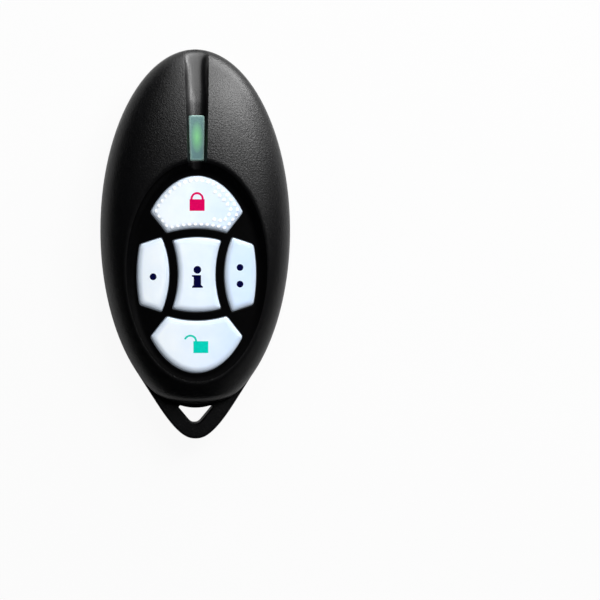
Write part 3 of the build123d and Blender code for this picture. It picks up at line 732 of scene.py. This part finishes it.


# Status window
# A light guide of green-tinted polycarbonate over the lamp, pushed into the groove's slot from inside
# and stopped by its flange. A paler line is painted round the lens at its bevelled edge, a painted
# highlight.
window_proud = 0.12
window_bevel = 0.26
window_drop = 0.12
window_flange = 0.5
window_foot = 0.7
flange_clearance = 0.08
window_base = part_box("status_window")[0].z / MM
side_fit = 0.006             # how far outside an outline a wall's rows start to drop
lens_distances = (window_flange, 2 * side_fit, 0.0, -0.05, -0.1, -0.18, -window_bevel, -0.5)
lens_row_spacing, lens_spacing = 0.15, 0.22
lens_rim_reach = 0.36
lamp_y = 21.3
spot_half_width, spot_reach = 1.3, 3.3
rim_share = "rim"

# Green-tinted polycarbonate, satin from its mould; the lamp behind is painted on it as a glow and not a
# point.
tinted_lens, tree, shader = finish_named("green_tinted_polycarbonate", {
    "Roughness": 0.3, "IOR": 1.58, "Specular IOR Level": 0.2})
mottled(tree, shader, "#5d7f7c", "#577678", 1.4)


def edged(tree, shader, tone):
    """Paints a shader's colour over to a tone at the piece's rim: the lens's painted highlight and the
    keys' painted shade.
    """
    colour = shader.inputs["Base Color"].links[0].from_socket
    rim = add(tree, "ShaderNodeAttribute", attribute_name=rim_share)
    mix = add(tree, "ShaderNodeMix", {0: rim.outputs["Fac"], 6: colour, 7: linear(tone)},
              data_type="RGBA")
    tree.links.new(mix.outputs[2], shader.inputs["Base Color"])


def mark_rim(piece, edge, reach):
    """Stores on a piece how near each point is to its outline: 1 on it, 0 from this reach inwards."""
    points = from_mesh(piece.data.vertices, "co", float, 3) / MM
    near = np.clip(1 + edge(points[:, 0], points[:, 1]) / reach, 0, 1)
    piece.data.attributes.new(rim_share, "FLOAT", "POINT").data.foreach_set("value", near)


# Painted highlight: the lens's colour goes over to a paler tone at its rim.
edged(tree, shader, "#8daba3")
# The lit lamp is painted on the lens as a soft green glow, stretched along it.
place = add(tree, "ShaderNodeTexCoord")
spot = add(tree, "ShaderNodeMapping", {"Vector": place.outputs["Object"],
                                       "Location": (0, -lamp_y / spot_reach, 0),
                                       "Scale": (1 / (spot_half_width * MM), 1 / (spot_reach * MM), 0)})
glow = add(tree, "ShaderNodeTexGradient", {"Vector": spot.outputs["Vector"]}, gradient_type="SPHERICAL")
ramp = add(tree, "ShaderNodeValToRGB", {"Fac": glow.outputs["Fac"]})
for stop, tone in zip(ramp.color_ramp.elements, ("#000000", "#58a42f")):
    stop.color = linear(tone)
tree.links.new(ramp.outputs["Color"], shader.inputs["Emission Color"])
shader.inputs["Emission Strength"].default_value = 1.0


def lens_top(x, y):
    """Height of the lens and, outside it, of the flange."""
    near = np.clip(1 + window_edge(x, y) / window_bevel, 0, 1)
    lens = groove_floor(y) + window_proud - window_drop * near ** 2
    return np.where(window_edge(x, y) < side_fit, lens, groove_floor(y) - wall - flange_clearance)


def lens_under(x, y):
    """Height of the guide's foot and, outside it, of the flange's underside."""
    flange = groove_floor(y) - wall - flange_clearance - window_foot
    return np.where(window_edge(x, y) < side_fit, window_base, np.maximum(flange, window_base))


rows = [(contour(window_edge, distance, (0, lamp_y), lens_row_spacing, window_search_reach), True)
        for distance in lens_distances]
plan, faces = filled_plan(rows, lens_spacing, lambda x, y: window_edge(x, y) < window_flange)
lens = moulding("status_lens", plan, faces, lens_top, lens_under)
lens.data.materials.append(tinted_lens)
mark_rim(lens, window_edge, lens_rim_reach)
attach(lens, "housing")
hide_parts("status_window")


# Keys
# Five caps of milky polycarbonate, held from below by a flange under the deck. Their tops are gently
# pillowed and satin; they carry a faint painted glow, and painted shade makes them darker and cooler
# towards their edges. The marks are printed on them.
key_proud = 0.5
pillow_reach = 1.15
pillow_drop = 0.4
flange_width = 0.5
flange_top = deck_thickness + flange_clearance
cap_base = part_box("info_key")[0].z / MM
cap_distances = (flange_width, 2 * side_fit, 0.0, -0.02, -0.06, -0.13, -0.24, -0.4, -0.6, -0.85,
                 -pillow_reach)
cap_row_spacing, cap_spacing, mark_spacing = 0.3, 0.45, 0.2
cap_rim_reach = 1.1
painted_shade_start_share = -0.4      # where the painted shade starts, as a share of the keys' half width
printed_cosine = 0.5         # only faces that look up carry ink

# Milky satin polycarbonate: light wanders in it. A faint painted glow makes a cap look lit from within, and
# painted shade dims it at its rim.
milky_cap, tree, shader = finish_named("milky_satin_polycarbonate", {
    "Roughness": 0.4, "IOR": 1.58, "Specular IOR Level": 0.15, "Subsurface Weight": 0.25,
    "Subsurface Scale": 1.2 * MM, "Subsurface Radius": (1.0, 1.0, 1.0),
    "Emission Color": linear("#e4f0ff"), "Emission Strength": 0.1})
noise = mottled(tree, shader, "#edf4fb", "#e7f0f9", 4.0)
relief(tree, shader, noise.outputs["Fac"], 0.004)
# Painted shade: the caps are painted a little darker and bluer from the left-hand keys to the right-hand
# ones.
place = add(tree, "ShaderNodeTexCoord")
across = add(tree, "ShaderNodeSeparateXYZ", {"Vector": place.outputs["Object"]})
share = add(tree, "ShaderNodeMapRange", {"Value": across.outputs["X"],
                                        "From Min": painted_shade_start_share * keys_half_width * MM,
                                        "From Max": keys_half_width * MM})
painted_shade_tone = add(tree, "ShaderNodeMix", {0: share.outputs["Result"], 6: linear("#ffffff"),
                                   7: linear("#d3e3fa")}, data_type="RGBA")
painted_shade_mix = add(tree, "ShaderNodeMix", {0: 1.0, 6: shader.inputs["Base Color"].links[0].from_socket,
                                     7: painted_shade_tone.outputs[2]}, data_type="RGBA", blend_type="MULTIPLY")
tree.links.new(painted_shade_mix.outputs[2], shader.inputs["Base Color"])
# Painted shade: the cap's colour goes over to a darker, bluer tone at its rim.
edged(tree, shader, "#b3c0ce")


def arc(middle, half_width, half_height, start, end, steps=32):
    """Points along an ellipse between two angles in degrees."""
    return [(middle[0] + half_width * math.cos(angle), middle[1] + half_height * math.sin(angle))
            for angle in np.radians(np.linspace(start, end, steps + 1))]


# Each mark is a list of closed outlines; one that lies inside another is a hole in it.
closed_padlock = [[(-1.51, 6.62), (1.48, 6.62), (1.48, 8.92), *arc((-0.02, 8.92), 1.33, 1.42, 0, 180),
                   (-1.51, 8.92)], arc((-0.02, 8.92), 0.92, 0.98, 0, 180)]
open_padlock = [[(-0.72, -21.62), (2.26, -21.62), (2.26, -19.24), *arc((-1.32, -19.24), 1.32, 1.28, 0, 160),
                 *arc((-1.32, -19.24), 0.94, 0.88, 160, 0), (-0.72, -19.24)]]
information_sign = [arc((0.056, -5.06), 0.77, 0.77, 0, 348),
                    [(-1.05, -6.12), (0.78, -6.12), (0.80, -8.08), (1.2, -8.42), (1.12, -8.64),
                     (-0.96, -8.64), (-1.02, -8.42), (-0.68, -8.1), (-0.68, -6.52), (-1.02, -6.4)]]
one_dot = [arc((-8.7, -6.44), 0.68, 0.68, 0, 348)]
two_dots = [arc((8.56, -4.6), 0.68, 0.68, 0, 348), arc((8.56, -7.92), 0.68, 0.68, 0, 348)]
marks = {"lock_key": (closed_padlock, "magenta", "#dc035c", "#cf0256"),
         "unlock_key": (open_padlock, "teal", "#07d3be", "#05c9b4"),
         "info_key": (information_sign, "navy", "#010236", "#01022e"),
         "one_dot_key": (one_dot, "navy", "#010236", "#01022e"),
         "two_dot_key": (two_dots, "navy", "#010236", "#01022e")}


def in_mark(outlines, x, y):
    """Whether points lie inside an odd number of outlines."""
    crossings = np.zeros(np.shape(x), int)
    for outline in outlines:
        for (ax, ay), (bx, by) in zip(outline, outline[1:] + outline[:1]):
            if ay != by:
                crossings += ((ay > y) != (by > y)) & (x < (bx - ax) * (y - ay) / (by - ay) + ax)
    return crossings % 2 == 1


def divided(outline, spacing):
    """An outline with its long sides divided."""
    points = []
    for start, end in zip(outline, outline[1:] + outline[:1]):
        steps = max(1, math.ceil(math.dist(start, end) / spacing))
        points += [(start[0] + (end[0] - start[0]) * step / steps,
                    start[1] + (end[1] - start[1]) * step / steps) for step in range(steps)]
    return np.array(points)


def key_top(key):
    """The height function of one key's top: pillowed cap, wall and flange."""
    def height(x, y):
        edge = key_edge(key, x, y)
        share = np.clip(1 + edge / pillow_reach, 0, 1)
        cap = deck(x, y) + key_proud - pillow_drop * (1 - np.sqrt(1 - share ** 2))
        return np.where(edge < side_fit, cap, deck(x, y) - flange_top)
    return height


for key in KEYS:
    outlines, ink_name, ink_light, ink_dark = marks[key]
    rows = [(contour(lambda x, y: key_edge(key, x, y), distance, key_middle(key), cap_row_spacing,
                     key_search_reach), True) for distance in cap_distances]
    rows += [(divided(outline, mark_spacing), True) for outline in outlines]
    plan, faces = filled_plan(rows, cap_spacing, lambda x, y: key_edge(key, x, y) < flange_width)
    cap = moulding(f"{key}_cap", plan, faces, key_top(key), lambda x, y: np.full_like(x, cap_base))
    # Pad-printed ink: a thin matt film, a little uneven where the pad lifted off.
    ink = bpy.data.materials.get(f"printed_{ink_name}_ink")
    if not ink:
        ink, tree, shader = finish_named(f"printed_{ink_name}_ink", {"Roughness": 0.6,
                                                                     "Specular IOR Level": 0.03})
        mottled(tree, shader, ink_light, ink_dark, 0.5)
    cap.data.materials.append(milky_cap)
    cap.data.materials.append(ink)
    x, y, z = from_mesh(cap.data.polygons, "center", float, 3).T / MM
    looks_up = from_mesh(cap.data.polygons, "normal", float, 3)[:, 2] > printed_cosine
    cap.data.polygons.foreach_set("material_index", (in_mark(outlines, x, y) & looks_up).astype(int))
    mark_rim(cap, lambda x, y: key_edge(key, x, y), cap_rim_reach)
    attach(cap, key)
    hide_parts(key)


# Light pips
# Low round pips moulded on the locking key alone, in rows that follow its outline. Each is painted a
# shade paler than the cap and given a faint glow, a painted highlight.
pip_diameter = 0.78
pip_rise = 0.03
pip_pitch = 1.18
pip_rows = (0.8, 1.95)
second_row_x = 2.5           # the second row is there only to the right of this
mark_middle = (-0.02, 8.3)
pip_clear_of_mark = 2.6

# Milky polycarbonate again, painted a shade paler than the cap and faintly glowing: a painted highlight.
pip_plastic, tree, shader = finish_named("milky_pip_polycarbonate", {
    "Roughness": 0.4, "IOR": 1.58, "Specular IOR Level": 0.15, "Emission Color": linear("#eef6ff"),
    "Emission Strength": 0.1})
noise = mottled(tree, shader, "#f8fbff", "#f1f6fb", 0.5)
relief(tree, shader, noise.outputs["Fac"], 0.002)

pip_tree = bpy.data.node_groups.new("light_pips", "GeometryNodeTree")
sockets = pip_tree.interface
sockets.new_socket("Places", in_out="INPUT", socket_type="NodeSocketGeometry")
diameter_socket = sockets.new_socket("Pip Diameter", in_out="INPUT", socket_type="NodeSocketFloat")
rise_socket = sockets.new_socket("Pip Rise", in_out="INPUT", socket_type="NodeSocketFloat")
sockets.new_socket("Pips", in_out="OUTPUT", socket_type="NodeSocketGeometry")
given = add(pip_tree, "NodeGroupInput")
radius = add(pip_tree, "ShaderNodeMath", {0: given.outputs["Pip Diameter"], 1: 0.5},
             operation="MULTIPLY")
ball = add(pip_tree, "GeometryNodeMeshUVSphere", {"Segments": 12, "Rings": 6,
                                                  "Radius": radius.outputs["Value"]})
flatness = add(pip_tree, "ShaderNodeMath", {0: given.outputs["Pip Rise"], 1: radius.outputs["Value"]},
               operation="DIVIDE")
stretch = add(pip_tree, "ShaderNodeCombineXYZ", {"X": 1.0, "Y": 1.0, "Z": flatness.outputs["Value"]})
pip = add(pip_tree, "GeometryNodeTransform", {"Geometry": ball.outputs["Mesh"],
                                              "Scale": stretch.outputs["Vector"]})
rounded = add(pip_tree, "GeometryNodeSetShadeSmooth", {"Geometry": pip.outputs["Geometry"]})
spread = add(pip_tree, "GeometryNodeInstanceOnPoints", {"Points": given.outputs["Places"],
                                                        "Instance": rounded.outputs["Geometry"]})
real = add(pip_tree, "GeometryNodeRealizeInstances", {"Geometry": spread.outputs["Instances"]})
dressed = add(pip_tree, "GeometryNodeSetMaterial", {"Geometry": real.outputs["Geometry"],
                                                    "Material": pip_plastic})
add(pip_tree, "NodeGroupOutput", {"Pips": dressed.outputs["Geometry"]})


def lock_edge(x, y):
    """Signed distance from the locking key's outline."""
    return key_edge("lock_key", x, y)


outer, inner = (contour(lock_edge, -offset, key_middle("lock_key"), pip_pitch, key_search_reach)
                for offset in pip_rows)
places = np.concatenate([outer, inner[inner[:, 0] > second_row_x]])
from_mark = np.hypot(places[:, 0] - mark_middle[0], places[:, 1] - mark_middle[1])
places = places[from_mark > pip_clear_of_mark]
heights = key_top("lock_key")(places[:, 0], places[:, 1])
pips = own_mesh("lock_key_pips", [(x, y, z) for (x, y), z in zip(places, heights)], [])
modifier = pips.modifiers.new("light_pips", "NODES")
modifier.node_group = pip_tree
modifier[diameter_socket.identifier] = pip_diameter * MM
modifier[rise_socket.identifier] = pip_rise * MM
pip_mesh = bpy.data.meshes.new_from_object(pips.evaluated_get(bpy.context.evaluated_depsgraph_get()))
pips.modifiers.clear()
pips.data = pip_mesh
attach(pips, "lock_key")


# Case screws
# Two self-tapping steel screws with cross drives, driven from the back into the front shell's bosses.
# Their bright zinc plate has a faint blue cast and fine tumbling marks.
zinc_plate, tree, shader = finish_named("bright_zinc_plate", {"Metallic": 1.0, "Roughness": 0.32})
noise = mottled(tree, shader, "#c3c7cc", "#a3a8ae", 0.5)
relief(tree, shader, noise.outputs["Fac"], 0.005)
finish_node("case_screws", zinc_plate)


# Stage
# A plain pale sweep for the fob to lie on. The camera sees it as nearly pure white, gloss and glass as
# a little lighter than it is, and it keeps a faint shadow.
floor_half = 600.0
floor_drop = 0.02
seen_share = 0.94
mirrored_share = 0.15
floor = own_mesh("floor", [(side * floor_half, end * floor_half, -floor_drop)
                           for side, end in ((-1, -1), (1, -1), (1, 1), (-1, 1))], [(0, 1, 2, 3)])
paper, tree, shader = finish_named("white_sweep_paper", {"Roughness": 0.9})
mottled(tree, shader, "#c6c6c6", "#c1c1c1", 30.0)
path = add(tree, "ShaderNodeLightPath")
share = add(tree, "ShaderNodeMath", {0: path.outputs["Is Camera Ray"], 1: seen_share}, operation="MULTIPLY")
for ray in ("Is Glossy Ray", "Is Transmission Ray"):
    part = add(tree, "ShaderNodeMath", {0: path.outputs[ray], 1: mirrored_share}, operation="MULTIPLY")
    share = add(tree, "ShaderNodeMath", {0: share.outputs["Value"], 1: part.outputs["Value"]},
                operation="MAXIMUM")
white = add(tree, "ShaderNodeEmission", {"Color": (1, 1, 1, 1), "Strength": 1.0})
blend = add(tree, "ShaderNodeMixShader", {0: share.outputs["Value"], 1: shader.outputs["BSDF"],
                                          2: white.outputs["Emission"]})
tree.links.new(blend.outputs["Shader"], tree.nodes["Material Output"].inputs["Surface"])
floor.data.materials.append(paper)

# The room is dark overhead. The camera sees white beyond the sweep, and so does gloss, low down.
room_glow_top = 0.03         # how high above the horizon that white has faded out for gloss
world = bpy.data.worlds.new("studio")
world.use_nodes = True
bpy.context.scene.world = world
tree = world.node_tree
direction = add(tree, "ShaderNodeTexCoord")
height = add(tree, "ShaderNodeSeparateXYZ", {"Vector": direction.outputs["Generated"]})
low = add(tree, "ShaderNodeMapRange", {"Value": height.outputs["Z"], "From Min": room_glow_top,
                                      "From Max": 0.0})
path = add(tree, "ShaderNodeLightPath")
seen = add(tree, "ShaderNodeMath", {0: path.outputs["Is Camera Ray"], 1: low.outputs["Result"]},
           operation="MAXIMUM")
room = add(tree, "ShaderNodeMix", {0: seen.outputs["Value"], 6: linear("#08090b"),
                                   7: linear("#ffffff")}, data_type="RGBA")
tree.nodes["Background"].inputs["Strength"].default_value = 1.0
tree.links.new(room.outputs[2], tree.nodes["Background"].inputs["Color"])


def soft_box(name, azimuth, rise, distance, side, power):
    """A square soft box in metres, aimed at the fob; angles in degrees."""
    lamp = bpy.data.lights.new(name, "AREA")
    lamp.shape, lamp.size, lamp.energy = "SQUARE", side, power
    light = bpy.data.objects.new(name, lamp)
    across, up = math.radians(azimuth), math.radians(rise)
    light.location = (distance * math.cos(up) * math.cos(across),
                      distance * math.cos(up) * math.sin(across), distance * math.sin(up))
    light.rotation_mode = "QUATERNION"
    light.rotation_quaternion = (-light.location).to_track_quat("-Z", "Y")
    light.visible_camera = False
    bpy.context.scene.collection.objects.link(light)


# A bank of equal boxes stands to the right of the fob's upper end, from low down to steeply overhead,
# and two dim ones further down its right side. Each is (azimuth, rise, watts).
box_distance, box_side = 0.6, 0.16
bank = ((27, 8, 0.1), (45, 8, 1.5), (63, 8, 1.15), (81, 8, 0.67), (99, 8, 0.3), (27, 22, 0.12),
        (45, 22, 0.3), (63, 22, 0.46), (81, 22, 0.6), (99, 22, 0.3), (27, 38, 0.1), (45, 38, 1.5),
        (63, 38, 0.23), (81, 38, 0.45), (99, 38, 0.28), (27, 56, 0.18), (63, 56, 1.2), (99, 56, 0.28),
        (-45, 22, 0.04), (-27, 15, 0.03))
for azimuth, rise, power in bank:
    soft_box(f"box_{azimuth}_{rise}", azimuth, rise, box_distance, box_side, power)

# The camera looks down on the face from 0.6 m, with the fob left of the picture's middle.
camera_place = (-0.0294, 0.0, 0.607)
camera_aim = Vector((0.0210, -0.0112, 0.006))
camera = bpy.data.objects.new("camera", bpy.data.cameras.new("camera"))
camera.data.lens, camera.data.sensor_width = 180.0, 36.0
camera.data.clip_start, camera.data.clip_end = 0.05, 5.0
camera.location = camera_place
ahead = (camera_aim - camera.location).normalized()
right = ahead.cross(Vector((0, 1, 0))).normalized()
camera.rotation_mode = "QUATERNION"
camera.rotation_quaternion = Matrix((right, right.cross(ahead), -ahead)).transposed().to_quaternion()
bpy.context.scene.collection.objects.link(camera)
bpy.context.scene.camera = camera
bpy.context.scene.view_settings.view_transform = "Standard"
